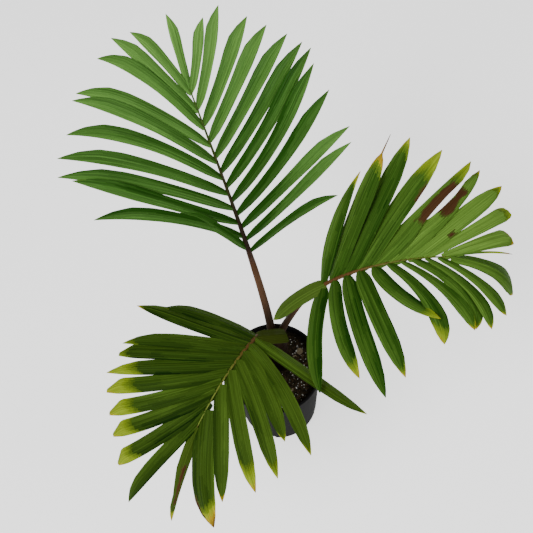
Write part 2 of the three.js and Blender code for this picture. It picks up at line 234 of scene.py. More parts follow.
# A frond rises from the bearing of its seat on the stem's head. Its heading swings by turn, and its rise
# and stoutness are keyed from the seat (0) to the tip (1). Perch is the height of the leaflets' feet over
# the middle of the rib, in rib radii.
# Each side of a frond runs from its foot. spread, length and sweep name the leaflets one by one, a list
# of pairs is keyed from the first leaflet (0) to the last (1), tone goes from dark (0) to light (1), and
# odd holds what single leaflets have of their own. Strays stand outside the two rows.
# Spread is the angle away from the rib and lift the angle above it. Sag bends a leaflet down and sweep
# towards the frond's tip, lean draws its end to one edge, and its foot shade is painted shade that darkens
# the foot, where the leaflets overlap at the rib, and lightens the tip.
FRONDS = {
    "back": dict(
        seat=158, heading=112.3, turn=-6.3, petiole=170, blade=246, green="fresh",
        stout=[(0, 1)], perch=0.2, rise=[(0, 88), (0.46, 67), (1, 40)],
        sides=[
            dict(
                hand=-1, width=17, outline="slender", lean=0.8, tip=FRESH, fade=0.25,
                tone=[(0, 0.15), (0.5, 0.3), (1, 0.75)],
                at=[(0, 0.09), (0.73, 0.8), (0.91, 0.97), (1, 1)],
                spread=[26, 40, 44, 44, 43, 38, 36, 37, 25, 27, 19, -6],
                length=[130, 218, 235, 235, 224, 206, 192, 175, 152, 129, 99, 88],
                sweep=[0, -0.1, 0.3, 0, -0.1, -0.3, -0.2, -0.3, -0.5, 0, -0.3, -0.3],
                lift=[(0, 22), (1, 20)], sag=[(0, 0.5), (1, 0.15)],
            ),
            dict(
                hand=1, width=17.5, outline="slender", lean=0.8, tip=FRESH, fade=0.25,
                tone=[(0, 0.05), (0.5, 0.15), (1, 0.7)],
                at=[(0, 0.07), (1, 0.98)],
                spread=[54, 55, 55, 54, 53, 51, 50, 48, 45, 43, 36, 33],
                length=[143, 189, 190, 196, 198, 196, 182, 167, 150, 134, 119, 85],
                sweep=[0, 0.4, 0.3, 0.7, 0.9, 0.6, 0.4, 0.3, 0.3, 0.4, 0.7, 0.7],
                lift=[(0, 24), (1, 20)], sag=[(0, 0.5), (1, 0.25)],
                odd={1: dict(tone=0.35, fade=0.8), 2: dict(tone=0.35, fade=0.8)},
            ),
        ],
        strays=[],
    ),
    "right": dict(
        seat=5, heading=-1.6, turn=-5.3, petiole=148, blade=185, green="bright",
        stout=[(0, 1), (0.4, 0.85)], perch=0.5, rise=[(0, 74.5), (0.3, 68), (0.48, 46.5), (1, -4)],
        sides=[
            dict(
                hand=-1, width=29, outline="strap", lean=0, tip=SINGED,
                tone=[(0, 0.25), (0.4, 0.35), (0.7, 0.85), (1, 0.85)],
                at=[(0, 0.04), (0.13, 0.13), (1, 0.94)],
                spread=[47, 40, 41, 39, 31, 32, 30, 25, 18],
                length=[163, 204, 195, 185, 183, 173, 166, 141, 109],
                sweep=[0.7, 0, -0.1, 0, -0.17, -0.63, -0.4, -0.5, -0.5],
                lift=[(0, 28), (1, 12)], sag=[(0, 0.4), (1, 0.6)],
                odd={
                    0: dict(outline="tapered", width=24, tip=dict(lime=0.88, straw=0.91, brown=0.99)),
                    1: dict(outline="tailed", tip=dict(lime=0.77, straw=0.82, brown=0.83)),
                    3: dict(width=28, tip=dict(lime=0.78, straw=0.97), burn=(0.6, 0.76, 1.1, 0.4)),
                    4: dict(
                        outline="shrunk", width=28, lean=0.8, tip=dict(lime=0.82, straw=0.97),
                        burn=(0.42, 0.8, 0.75, 1),
                    ),
                    5: dict(
                        outline="shrunk", width=28, lean=-0.9, tip=dict(lime=0.94, brown=0.98),
                        burn=(0.5, 0.78, -0.3, 0.8),
                    ),
                    6: dict(
                        width=24, tip=dict(lime=0.9, straw=0.96, brown=0.99), burn=(0.355, 0.42, 0.72, 0.26),
                    ),
                    7: dict(outline="torn", width=21, tip=dict(lime=0.9)),
                    8: dict(outline="torn", width=24, lean=-0.6, tip=dict(lime=0.96, brown=0.99)),
                },
            ),
            dict(
                hand=1, width=23, outline="strap", lean=0.3, tip=dict(lime=0.93, straw=0.97, brown=0.985),
                tone=[(0, 0.15), (0.5, 0.2), (1, 0.45)],
                at=[(0, 0.05), (0.5, 0.58), (1, 1)],
                spread=[110, 89, 79, 73, 63, 47, 40, 35, 38, 35, 12],
                length=[144, 142, 173, 155, 114, 132, 131, 129, 128, 116, 112],
                sweep=[0.9, 0.8, 0.4, 0.3, 1.3, -0.5, -0.3, -0.7, -0.5, -0.2, -0.7],
                lift=[(0, 8), (1, 5)], sag=[(0, 0.6), (1, 1.1)],
                odd={
                    0: dict(width=25, tip={}), 1: dict(tip=dict(lime=0.84, straw=0.94)), 2: dict(tip={}),
                    4: dict(width=19, twist=20, tip=dict(lime=0.82, straw=0.97)),
                    5: dict(outline="club", width=24, twist=25, tip=dict(lime=0.84, straw=0.98, slant=-0.08)),
                    6: dict(outline="club", width=17), 7: dict(outline="club", width=24),
                    8: dict(outline="club", width=17), 9: dict(outline="club", width=19),
                    10: dict(outline="club", width=34, tip=dict(straw=0.97, brown=0.985)),
                },
            ),
        ],
        # One leaflet at the foot folds back over the petiole
        strays=[dict(
            hand=1, at=0.08, width=22, outline="strap", spread=155, length=103, sweep=0.2, lift=60, sag=1.2,
            shade="under", tip=dict(lime=0.94),
        ), dict(
            hand=-1, at=0.97, width=3, outline="strap", spread=9, length=96, sweep=0, lift=6, sag=0.75,
            tip=dict(lime=0.5, brown=0.85),
        )],
    ),
    "front": dict(
        seat=260, heading=237.4, turn=-7.3, petiole=97, blade=174, green="deep",
        stout=[(0, 0.7)], perch=0.8, rise=[(0, 77.5), (0.3, 64), (0.4, 43), (1, -34)],
        sides=[
            dict(
                hand=-1, width=21, outline="broad", lean=0.3, tip=dict(lime=0.94, straw=0.98),
                tone=[(0, 0.5), (0.5, 0.38), (1, 0.36)],
                at=[(0, 0.13), (0.67, 0.51), (0.83, 0.63), (1, 0.84)],
                spread=[79, 63, 60, 52, 40, 33, 23],
                length=[179, 178, 135, 161, 157, 144, 158],
                sweep=[-0.1, 0.7, 0.6, 0.3, -0.1, 0.2, -0.6],
                lift=[(0, -2), (1, 2)], sag=[(0, 0.3), (1, 0.6)],
                odd={
                    0: dict(width=21, tip=dict(straw=0.985)),
                    3: dict(tip=dict(lime=0.88, straw=0.97)),
                    4: dict(tip=dict(lime=0.78, straw=0.93, brown=0.975)),
                    5: dict(width=21, tip=dict(lime=0.95, brown=0.97)),
                    6: dict(
                        width=33, tip=dict(lime=0.78, straw=0.86, brown=0.92, slant=-0.05),
                        burn=(0.7, 0.9, 0.95, 0.3),
                    ),
                },
            ),
            dict(
                hand=1, width=21, outline="broad", lean=-0.8, tip=PALED, tone=[(0, 0.3), (1, 0.25)],
                at=[(0, 0.11), (0.9, 0.86), (1, 0.99)],
                spread=[69, 65, 56, 54, 51, 47, 41, 35, 26, 17, -4],
                length=[127, 157, 159, 156, 165, 161, 157, 156, 165, 178, 150],
                sweep=[0.1, -0.3, 0, -0.2, -0.3, -0.4, -0.5, -0.6, -0.7, -0.4, 0],
                lift=[(0, 12), (1, 6)], sag=[(0, 0.3), (1, 0.7)],
                odd={
                    0: dict(width=24, tip=FRESH), 1: dict(width=25, tip=dict(lime=0.96, brown=0.985)),
                    2: dict(tip=dict(lime=0.92)), 3: dict(tip=dict(lime=0.94), outline="blunt"),
                    5: dict(outline="blunt"), 6: dict(outline="blunt"), 7: dict(outline="blunt"),
                    8: dict(outline="blunt"), 9: dict(tip=FRESH),
                    10: dict(
                        width=15, outline="waisted", shade="under", tip=dict(straw=0.9, brown=0.985),
                        burn=(0.36, 0.8, 0.3, 0.5),
                    ),
                },
            ),
        ],
        # One short leaflet at the foot lies across the head of the stem
        strays=[dict(
            hand=-1, at=0.12, width=26, outline="stub", spread=134, length=46, sweep=0, lift=12, sag=0.2,
            shade="dull", tip={},
        )],
    ),
}

# Leaf colours, darkest green to dead brown
GREENS = {
    "fresh": ((0.01, 0.05, 0.003), (0.13, 0.29, 0.055)),
    "bright": ((0.009, 0.04, 0.003), (0.13, 0.25, 0.037)),
    "deep": ((0.005, 0.018, 0.002), (0.092, 0.17, 0.022)),
}
GLOSS = {"fresh": 0.03, "bright": 0.004, "deep": 0.006}
DRY_GLOSS = 0.01
DULL = (0.03, 0.043, 0.006)
# Along a rib, from the frond's foot (0) to its tip (1)
RIBS = {
    "fresh": [
        (0, (0.09, 0.04, 0.02)), (0.1, (0.02, 0.009, 0.005)), (0.3, (0.02, 0.012, 0.005)),
        (0.6, (0.03, 0.035, 0.006)), (1, (0.05, 0.11, 0.01)),
    ],
    "bright": [
        (0, (0.1, 0.035, 0.012)), (0.35, (0.12, 0.06, 0.016)), (0.6, (0.1, 0.12, 0.015)),
        (1, (0.07, 0.14, 0.01)),
    ],
    "deep": [
        (0, (0.1, 0.04, 0.012)), (0.3, (0.11, 0.06, 0.014)), (0.5, (0.13, 0.15, 0.02)),
        (1, (0.16, 0.22, 0.03)),
    ],
}
LIME = (0.22, 0.3, 0.015)
STRAW = (0.42, 0.29, 0.014)
BROWN = (0.09, 0.035, 0.012)
MAROON = (0.062, 0.028, 0.011)
# Shades of green, and how they vary over a leaflet
SHADES = 12
TYPICAL_SHADE = 0.3
TONE_SPREAD = 0.07
# Painted light and shade across a leaflet: lighter on its raised rear edge, darker on its fore edge under the
# neighbour
PAINTED_EDGE_SHADE = 0.2
STRIPES = 0.26
STRIPE_PACE = 6
MOTTLE = 0.12
MOTTLE_PACE = 4
# Steps from one colour of a tip to the next, how the edges lead the middle, and how ragged the border is
BLENDS = 6
BLEND_STEP = 0.022
EDGE_LEAD = 0.06
TIP_RAGGED = 0.03
TIP_PACE = (5, 9)
# Dead patches: how their ends and sides waver, and how soon they darken inwards
BURN_RAGGED = 0.05
BURN_RAGGED_PACE = 4
BURN_WAVER = 0.8
BURN_WAVER_PACE = 12
BURN_END_STEP = 0.01
BURN_SIDE_STEP = 0.08
BURN_DARKENING = 2

# Camera, measured on the photograph, with places in mm and lights in metres
PHOTO_PIXELS = 533
FOCAL_PIXELS = 800
SENSOR = 36
CAMERA_PLACE = Vector((10.9, -437.4, 1397.7))
CAMERA_DOWN = 63
CAMERA_ROLL = 8
CLIP_END = 20
FLOOR_REACH = 4000
FLOOR_GLOW = 1.2
WORLD_STRENGTH = 0.3
# Name, place, size and power
LIGHTS = (
    ("key", (-0.9, -0.8, 2.2), 0.8, 40),
    ("fill", (1.3, -0.5, 1.9), 1.2, 14),
)
LIGHTS_AIM = Vector((0, 0, 0.35))


# Small helpers

def keyed(keys, t):
    """Value at t on straight lines between (t, value) keys."""
    for (t0, v0), (t1, v1) in zip(keys, keys[1:]):
        if t <= t1:
            return v0 + (v1 - v0) * (max(t, t0) - t0) / (t1 - t0)
    return keys[-1][1]


def mix(a, b, share):
    return tuple(x + (y - x) * share for x, y in zip(a, b))


def scaled(colour, factor):
    return tuple(min(channel * factor, 1) for channel in colour)


def new_object(name, data):
    made = bpy.data.objects.new(name, data)
    bpy.context.scene.collection.objects.link(made)
    return made


def add_piece(name, mesh, node, materials, smooth=True):
    """A finished object at the origin that rides on the plant and stands for a node."""
    piece = new_object(name, mesh)
    for material in materials:
        mesh.materials.append(material)
    if smooth:
        mesh.shade_smooth()
    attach(piece, "root")
    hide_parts(node)
    return piece


def mesh_of(name, form):
    """A mesh in metres from a bmesh in millimetres, normals outward."""
    bmesh.ops.remove_doubles(form, verts=form.verts, dist=MERGE)
    bmesh.ops.recalc_face_normals(form, faces=form.faces)
    bmesh.ops.transform(form, matrix=Matrix.Scale(MM, 4), verts=form.verts)
    mesh = bpy.data.meshes.new(name)
    form.to_mesh(mesh)
    form.free()
    return mesh


def spun(profile, steps):
    """A closed bmesh from a profile of (radius, height) that starts and ends on the axis."""
    form = bmesh.new()
    chain = [form.verts.new((radius, 0, height)) for radius, height in profile]
    edges = [form.edges.new(pair) for pair in zip(chain, chain[1:])]
    bmesh.ops.spin(
        form, geom=chain + edges, cent=(0, 0, 0), axis=(0, 0, 1), angle=2 * math.pi, steps=steps,
        use_merge=True,
    )
    bmesh.ops.remove_doubles(form, verts=form.verts, dist=MERGE)
    return form


# Materials

class Surface:
    """A principled material whose pattern nodes are added one call at a time."""

    def __init__(self, name, colour, roughness, **settings):
        self.material = bpy.data.materials.new(name)
        self.material.use_nodes = True
        self.nodes = self.material.node_tree.nodes
        self.links = self.material.node_tree.links
        self.shader = self.nodes["Principled BSDF"]
        self.shader.inputs["Base Color"].default_value = (*colour, 1)
        self.shader.inputs["Roughness"].default_value = roughness
        for socket, value in settings.items():
            self.shader.inputs[socket.replace("_", " ")].default_value = value
        self.height = None

    def add(self, kind, **settings):
        """A shader node, with settings for its inputs or for itself."""
        node = self.nodes.new("ShaderNode" + kind)
        for key, value in settings.items():
            if key in node.inputs:
                node.inputs[key].default_value = value
            else:
                setattr(node, key, value)
        return node

    def join(self, source, target):
        self.links.new(source, target)

    def place(self, output="Object", scale=(1, 1, 1)):
        """Coordinates scaled for a pattern."""
        spot = self.add("TexCoord")
        mapping = self.add("Mapping")
        mapping.inputs["Scale"].default_value = scale
        self.join(spot.outputs[output], mapping.inputs["Vector"])
        return mapping.outputs["Vector"]

    def along(self):
        """Place along a rib or petiole, from its foot (0) to its tip (1)."""
        parts = self.add("SeparateXYZ")
        self.join(self.place("UV"), parts.inputs["Vector"])
        return parts.outputs["Y"]

    def noise(self, vector, scale, detail, roughness=0.55):
        node = self.add("TexNoise", Scale=scale, Detail=detail, Roughness=roughness)
        self.join(vector, node.inputs["Vector"])
        return node.outputs["Fac"]

    def bands(self, vector, scale, distortion):
        node = self.add(
            "TexWave", wave_type="BANDS", bands_direction="X", Scale=scale, Distortion=distortion, Detail=2,
        )
        self.join(vector, node.inputs["Vector"])
        return node.outputs["Fac"]

    def ramp(self, source, stops):
        """Colour that runs through the stops as the source goes from 0 to 1."""
        node = self.add("ValToRGB")
        ramp = node.color_ramp
        while len(ramp.elements) < len(stops):
            ramp.elements.new(0.5)
        for element, (place, colour) in zip(ramp.elements, stops):
            element.position = place
            element.color = (*colour, 1)
        self.join(source, node.inputs["Fac"])
        return node.outputs["Color"]

    def blend(self, share, first, second):
        """Mix of two colours; each argument is a value or another node's output."""
        node = self.add("Mix", data_type="RGBA")
        for source, socket in ((share, 0), (first, 6), (second, 7)):
            if isinstance(source, bpy.types.NodeSocket):
                self.join(source, node.inputs[socket])
            else:
                node.inputs[socket].default_value = source if socket == 0 else (*source, 1)
        return node.outputs[2]

    def colour(self, source):
        self.join(source, self.shader.inputs["Base Color"])

    def roughness(self, source, low, high):
        span = self.add("MapRange")
        span.inputs["To Min"].default_value = low
        span.inputs["To Max"].default_value = high
        self.join(source, span.inputs["Value"])
        self.join(span.outputs["Result"], self.shader.inputs["Roughness"])

    def bump(self, source, strength, distance):
        node = self.add("Bump", Strength=strength, Distance=distance)
        self.join(source, node.inputs["Height"])
        if self.height:
            self.join(self.height, node.inputs["Normal"])
        self.height = node.outputs["Normal"]
        self.join(self.height, self.shader.inputs["Normal"])


def leaf_skin(name, colour, gloss):
    """Satin leaf with fine veins along it; U runs across the leaflet in half widths, V along it in widths."""
    skin = Surface(name, colour, roughness=0.4, Specular_IOR_Level=gloss)
    veins = skin.bands(skin.place("UV", (1, 0.03, 1)), scale=1.3, distortion=1.6)
    threads = skin.noise(skin.place("UV", (9, 0.12, 1)), scale=1.6, detail=3)
    mottle = skin.noise(skin.place("UV", (0.8, 0.4, 1)), scale=1.8, detail=4)
    streaks = skin.ramp(threads, [(0.3, scaled(colour, 0.62)), (0.5, colour), (0.72, scaled(colour, 1.7))])
    ribbed = skin.ramp(veins, [(0.0, scaled(colour, 0.75)), (0.6, colour), (1.0, scaled(colour, 1.25))])
    skin.colour(skin.blend(mottle, skin.blend(0.55, ribbed, streaks), streaks))
    skin.roughness(mottle, low=0.3, high=0.52)
    skin.bump(veins, strength=0.4, distance=0.0005)
    skin.bump(threads, strength=0.4, distance=0.0004)
    return skin.material


class Palette:
    """Leaf and rib materials of one frond, made when first asked for and shared by name."""

    shared = {}

    def __init__(self, green):
        self.green = green
        self.slots, self.materials = {}, []

    def slot(self, tone, step=0):
        """Material number of a tone: green, lime, straw, brown, maroon, dull, under or rib, at a step."""
        key = (tone, step)
        if key not in self.slots:
            self.slots[key] = len(self.materials)
            self.materials.append(self.material(tone, step))
        return self.slots[key]

    def material(self, tone, step):
        own = tone in ("green", "lime", "under", "rib")
        name = f"{tone}_{self.green}_{step}" if own else f"{tone}_{step}"
        if name not in self.shared:
            if tone == "rib":
                self.shared[name] = rib_skin(name, RIBS[self.green])
            else:
                gloss = GLOSS[self.green] if own else DRY_GLOSS
                self.shared[name] = leaf_skin(name, self.tint(tone, step), gloss)
        return self.shared[name]

    def tint(self, tone, step):
        dark, light = GREENS[self.green]
        green = mix(dark, light, TYPICAL_SHADE)
        share = step / BLENDS
        return {
            "green": mix(dark, light, step / (SHADES - 1)),
            "lime": mix(green, LIME, share),
            "straw": mix(LIME, STRAW, share),
            "brown": mix(STRAW, BROWN, share),
            "maroon": mix(green, MAROON, share),
            "dull": DULL,
            "under": scaled(mix(light, DULL, 0.5), 0.75),
        }[tone]


def rib_skin(name, stops):
    """Rib, coloured from the frond's foot to its tip; V of the UV map runs along it from 0 to 1."""
    skin = Surface(name, stops[0][1], roughness=0.5, Specular_IOR_Level=0.12)
    tone = skin.ramp(skin.along(), stops)
    speckle = skin.noise(skin.place("Object"), scale=420, detail=2)
    spots = skin.ramp(speckle, [(0.5, (0, 0, 0)), (0.7, (1, 1, 1))])
    skin.colour(skin.blend(spots, tone, scaled(stops[1][1], 0.6)))
    skin.bump(speckle, strength=0.2, distance=0.0003)
    return skin.material


# Course of a frond's petiole and rib, as the source has it

class Course:
    """Points at even steps from the seat on the stem's head to the rib's tip."""

    def __init__(self, frond):
        self.frond = frond
        self.total = frond["petiole"] + frond["blade"]
        seat = math.radians(frond["seat"])
        foot = STEM_HEAD + SEAT_RADIUS * Vector((math.cos(seat), math.sin(seat)))
        point = Vector((foot.x, foot.y, STEM_TOP + GAP))
        self.points = [point.copy()]
        for k in range(COURSE_STEPS):
            point = point + self.direction((k + 0.5) / COURSE_STEPS) * (self.total / COURSE_STEPS)
            self.points.append(point.copy())

    def direction(self, t):
        rise = math.radians(keyed(self.frond["rise"], t))
        heading = math.radians(self.frond["heading"] + self.frond["turn"] * t)
        level = math.cos(rise)
        return Vector((level * math.cos(heading), level * math.sin(heading), math.sin(rise)))

    def radius(self, t):
        return keyed(RIB_RADIUS, t) * keyed(self.frond["stout"], t)

    def at(self, t):
        """Point, way along, way to the right and normal at t from the seat (0) to the tip (1)."""
        place = min(max(t, 0), 1) * COURSE_STEPS
        k = min(int(place), COURSE_STEPS - 1)
        along = self.direction(t)
        right = along.cross(UP).normalized()
        return self.points[k].lerp(self.points[k + 1], place - k), along, right, right.cross(along)


# Joined leaf meshes, gathered as arrays

class Sheaf:
    """Vertices, faces, UVs and material numbers of many lofted strips."""

    def __init__(self):
        self.points, self.faces, self.uvs, self.slots = [], [], [], []

    def loft(self, rings, coordinates, slot_of):
        """Closed skin through rings with each ring's UVs; slot_of(ring, side) gives a material number."""
        base = len(self.points)
        count = len(rings[0])
        for ring in rings:
            self.points.extend(ring)
        for ring in range(len(rings) - 1):
            for side in range(count):
                after = (side + 1) % count
                a, b = base + ring * count + side, base + ring * count + after
                self.faces.append((a, b, b + count, a + count))
                self.uvs.append((
                    coordinates[ring][side], coordinates[ring][after],
                    coordinates[ring + 1][after], coordinates[ring + 1][side],
                ))
                self.slots.append(slot_of(ring, side))
        last = base + (len(rings) - 1) * count
        self.faces.append(tuple(range(base + count - 1, base - 1, -1)))
        self.uvs.append(tuple(reversed(coordinates[0])))
        self.slots.append(slot_of(0, 0))
        self.faces.append(tuple(range(last, last + count)))
        self.uvs.append(tuple(coordinates[-1]))
        self.slots.append(slot_of(len(rings) - 2, 0))

    def mesh(self, name):
        mesh = bpy.data.meshes.new(name)
        mesh.from_pydata([point * MM for point in self.points], [], self.faces)
        layer = mesh.uv_layers.new(name="leaf")
        layer.data.foreach_set("uv", [value for face in self.uvs for corner in face for value in corner])
        mesh.polygons.foreach_set("material_index", self.slots)
        return mesh


def leaflet_tone(leaflet, palette, dice):
    """A function of place along (0 to 1) and across (-1 rear to 1 fore) that gives a material number."""
    tip, burn = leaflet["tip"], leaflet.get("burn")
    middle = leaflet["tone"] + dice.uniform(-TONE_SPREAD, TONE_SPREAD)
    seed = dice.random() * TONE_SEEDS

    def green(t, across):
        """Striped lengthwise; painted light on the raised rear edge, painted shade on the tucked fore edge.
        """
        # Painted shade on the foot of a leaflet, where the leaflets overlap at the rib, against a lighter tip
        light = middle - PAINTED_EDGE_SHADE * across + leaflet["fade"] * (t - 0.5)
        light += STRIPES * noise.noise(Vector((across * STRIPE_PACE, seed, 3)))
        light += MOTTLE * noise.noise(Vector((t * MOTTLE_PACE, across, seed)))
        return palette.slot("green", min(max(round(light * (SHADES - 1)), 0), SHADES - 1))

    def inside_burn(t, across):
        """Steps from the edge of the dead patch inwards; none or fewer outside it."""
        low, high, side, reach = burn
        reach *= 1 + BURN_WAVER * noise.noise(Vector((t * BURN_WAVER_PACE, seed, 0)))
        t += BURN_RAGGED * noise.noise(Vector((across * BURN_RAGGED_PACE, seed, 7)))
        to_end, to_side = min(t - low, high - t), reach - abs(across - side)
        return min(to_end / BURN_END_STEP, to_side / BURN_SIDE_STEP)

    def tone(t, across):
        steps = inside_burn(t, across) if burn else 0
        if steps > 0:
            return palette.slot("maroon", min(BURN_DARKENING * (1 + int(steps)), BLENDS))
        t += tip.get("slant", 0) * across + EDGE_LEAD * across ** 2
        t += TIP_RAGGED * noise.noise(Vector((across * TIP_PACE[0], t * TIP_PACE[1], seed)))
        for kind in ("brown", "straw", "lime"):
            start = tip.get(kind)
            if start is not None and t > start:
                return palette.slot(kind, min(1 + int((t - start) / BLEND_STEP), BLENDS))
        return palette.slot(leaflet["shade"]) if "shade" in leaflet else green(t, across)

    return tone


def leaflet_rings(course, leaflet):
    """Rings round a folded strap with its ridge, at even steps along it."""
    frond = course.frond
    place = (frond["petiole"] + frond["blade"] * leaflet["at"]) / course.total
    point, rib, right, normal = course.at(place)
    point = point + normal * (frond["perch"] * course.radius(place))
    spread, lift, hand = math.radians(leaflet["spread"]), math.radians(leaflet["lift"]), leaflet["hand"]
    outward = right * math.cos(lift) * hand + normal * math.sin(lift)
    start = rib * math.cos(spread) + outward * math.sin(spread)

    def direction(t):
        bow = t ** BOW_POWER
        return (start - UP * leaflet["sag"] * bow + rib * leaflet["sweep"] * bow).normalized()

    width, length = leaflet["width"], leaflet["length"]
    outline = OUTLINES[leaflet["outline"]]
    widest = next(t for t, share in outline if share == 1)
    rings, coordinates = [], []
    for k in range(LEAFLET_STEPS + 1):
        t = k / LEAFLET_STEPS
        along = direction(t)
        flat = (normal - along * normal.dot(along)).normalized()
        across = flat.cross(along) * hand
        roll = math.radians(SHINGLE + leaflet["twist"] * t)
        up = flat * math.cos(roll) + across * math.sin(roll)
        fore = across * math.cos(roll) - flat * math.sin(roll)
        half = width / 2 * keyed(outline, t)
        shift = leaflet["lean"] * (width / 2 - half) if t > widest else 0
        thick = min(length * LEAFLET_THICKNESS, half * THICKEST)
        drop = half * keyed(FOLD, t)
        rings.append(cross_section(point, fore, up, half, drop, shift, thick, leaflet["seed"], t))
        coordinates.append([
            (u * half / PATTERN_HALF + leaflet["seed"], t * length / (2 * PATTERN_HALF))
            for u in section_places()
        ])
        point = point + direction(t + 0.5 / LEAFLET_STEPS) * (length / LEAFLET_STEPS)
    if hand > 0:
        rings = [ring[::-1] for ring in rings]
        coordinates = [row[::-1] for row in coordinates]
    return rings, coordinates


def section_places():
    """Places across a leaflet, from its fore edge over the top to the rear edge and back underneath."""
    top = [1 - k / HALF_STEPS for k in range(2 * HALF_STEPS + 1)]
    return top + [2 * k / UNDER_STEPS - 1 for k in range(1, UNDER_STEPS)]


def cross_section(point, fore, up, half, drop, shift, thick, seed, t):
    """Points round the folded strap: top from the fore edge to the rear edge, then the underside back."""
    ring = []
    for k, u in enumerate(section_places()):
        away = abs(u)
        ripple = RIPPLE * half * noise.noise(Vector((t * RIPPLE_PACE, seed, u))) * away
        ridge = RIDGE * thick * max(0, 1 - RIDGE_SHARPNESS * away)
        body = thick / 2 * (1 - away ** MARGIN_POWER)
        height = -drop * away ** FOLD_POWER + ripple
        height += ridge + body if k <= 2 * HALF_STEPS else -body
        ring.append(point + fore * (u * half - shift) + up * height)
    return ring


def leaflets_of(frond):
    """Every leaflet of a frond with all its values, row by row, then the strays."""
    for side in frond["sides"]:
        count = len(side["spread"])
        for k in range(count):
            t = k / (count - 1)
            leaflet = {key: side[key] for key in ("hand", "lean", "outline", "tip")}
            leaflet |= {key: side[key][k] for key in ("spread", "length", "sweep")}
            leaflet |= {key: keyed(side[key], t) for key in ("at", "lift", "sag", "tone")}
            leaflet |= dict(width=side["width"] * keyed(ROW_WIDTH, t), twist=0, fade=side.get("fade", 0))
            yield leaflet | side.get("odd", {}).get(k, {})
    for stray in frond["strays"]:
        yield dict(lean=0, twist=0, tone=0.5, fade=0) | stray


def rib_rings(course, start, end, steps, flatness):
    """Rings round the rib: rounded below and nearly flat above, with UVs whose V runs from 0 to 1."""
    rings, coordinates = [], []
    for k in range(steps + 1):
        share = k / steps
        t = start + (end - start) * share
        point, _, right, normal = course.at(t)
        radius = course.radius(t)
        ring = []
        for side in range(RIB_SIDES):
            angle = side / RIB_SIDES * 2 * math.pi
            rise = math.sin(angle) * (flatness if math.sin(angle) > 0 else 1)
            ring.append(point - right * radius * math.cos(angle) + normal * radius * rise)
        rings.append(ring)
        coordinates.append([(side / RIB_SIDES, share) for side in range(RIB_SIDES)])
    return rings, coordinates


def make_frond(place, frond):
    dice = random.Random(place)
    course = Course(frond)
    palette = Palette(frond["green"])
    sheaf = Sheaf()
    foot = (frond["petiole"] + GAP) / course.total
    rings, coordinates = rib_rings(course, foot, 1, RIB_STEPS, RIB_FLATNESS)
    sheaf.loft(rings, coordinates, lambda ring, side: palette.slot("rib"))
    places = section_places()
    count = len(places)
    for leaflet in leaflets_of(frond):
        leaflet["seed"] = dice.random() * LEAFLET_SEEDS
        tone = leaflet_tone(leaflet, palette, dice)
        rings, coordinates = leaflet_rings(course, leaflet)

        def slot_of(ring, side, tone=tone, hand=leaflet["hand"]):
            index = (count - 2 - side) % count if hand > 0 else side
            if index >= 2 * HALF_STEPS:
                return palette.slot("under")
            return tone((ring + 0.5) / LEAFLET_STEPS, (places[index] + places[index + 1]) / 2)

        sheaf.loft(rings, coordinates, slot_of)
    node = f"frond_{place}"
    mesh = sheaf.mesh(node)
    add_piece(f"{node}_leaflets", mesh, node, palette.materials)
    mesh.set_sharp_from_angle(angle=math.radians(MARGIN_ANGLE))


# Petioles

def make_petiole(place, frond, skin):
    course = Course(frond)
    end = frond["petiole"] / course.total
    sheaf = Sheaf()
    rings, coordinates = rib_rings(course, 0, end, PETIOLE_STEPS, PETIOLE_FLATNESS)
    sheaf.loft(rings, coordinates, lambda ring, side: 0)
    node = f"petiole_{place}"
    add_piece(f"{node}_skin", sheaf.mesh(node), node, [skin])


def petiole_material():
    """Nearly black at the stem, then reddish brown."""
    skin = Surface("petiole_skin", (0.1, 0.035, 0.018), roughness=0.45, Specular_IOR_Level=0.01)
    tone = skin.ramp(skin.along(), [
        (0.0, (0.006, 0.004, 0.002)), (0.3, (0.018, 0.01, 0.004)),
        (0.8, (0.19, 0.095, 0.05)), (1.0, (0.12, 0.055, 0.028)),
    ])
    streaks = skin.noise(skin.place("UV", (16, 1.5, 1)), scale=3, detail=4)
    skin.colour(skin.blend(streaks, tone, (0.036, 0.019, 0.01)))
    skin.bump(streaks, strength=0.25, distance=0.0004)
    return skin.material


# Stem

def noise_round(angle, t, pace):
    """Noise round the stem and up it, which closes on itself."""
    return noise.noise(Vector((math.cos(angle) * pace[0], math.sin(angle) * pace[0], t * pace[1])))


def stem_reach(t, angle):
    """Stem radius with its leaf-scar rings, the seam of its sheath and lengthwise fibres."""
    scar = SCAR_RISE * sum(math.exp(-((t - place) / SCAR_SPAN) ** 2) for place in SCAR_PLACES)
    wobble = STEM_WOBBLE * noise_round(angle, t, WOBBLE_PACE)
    fibre = FIBRE_RISE * noise_round(angle, t, FIBRE_PACE)
    aside = math.remainder(angle - SEAM_BEARING - SEAM_TWIST * t, 2 * math.pi)
    seam = SEAM_DEPTH * min(1, SEAM_FADE * t) * math.exp(-(aside / SEAM_SPAN) ** 2)
    head = max(0.0, (t - (1 - HEAD_SPAN)) / HEAD_SPAN) ** 2
    return keyed(STEM_RADIUS, t) * (STEM_CORE + wobble - HEAD_ROUND * head) + scar + fibre - seam


def make_stem(skin):
    foot = SOIL_TOP - STEM_SUNK
    profile = [(0, foot)]
    profile += [(1, foot + (STEM_TOP - foot) * k / STEM_RINGS) for k in range(STEM_RINGS + 1)]
    profile += [(0, STEM_TOP)]
    form = spun(profile, STEM_SIDES)
    # The wall starts at a radius of 1 mm and is moved out; what is nearer than half of that is the axis
    for vertex in form.verts:
        t = (vertex.co.z - foot) / (STEM_TOP - foot)
        centre = STEM_FOOT.lerp(STEM_HEAD, t)
        if vertex.co.xy.length > 0.5:
            angle = math.atan2(vertex.co.y, vertex.co.x)
            vertex.co.xy = centre + stem_reach(t, angle) * Vector((math.cos(angle), math.sin(angle)))
        else:
            vertex.co.xy = centre
    add_piece("stem_sheath", mesh_of("stem_sheath", form), "stem", [skin])


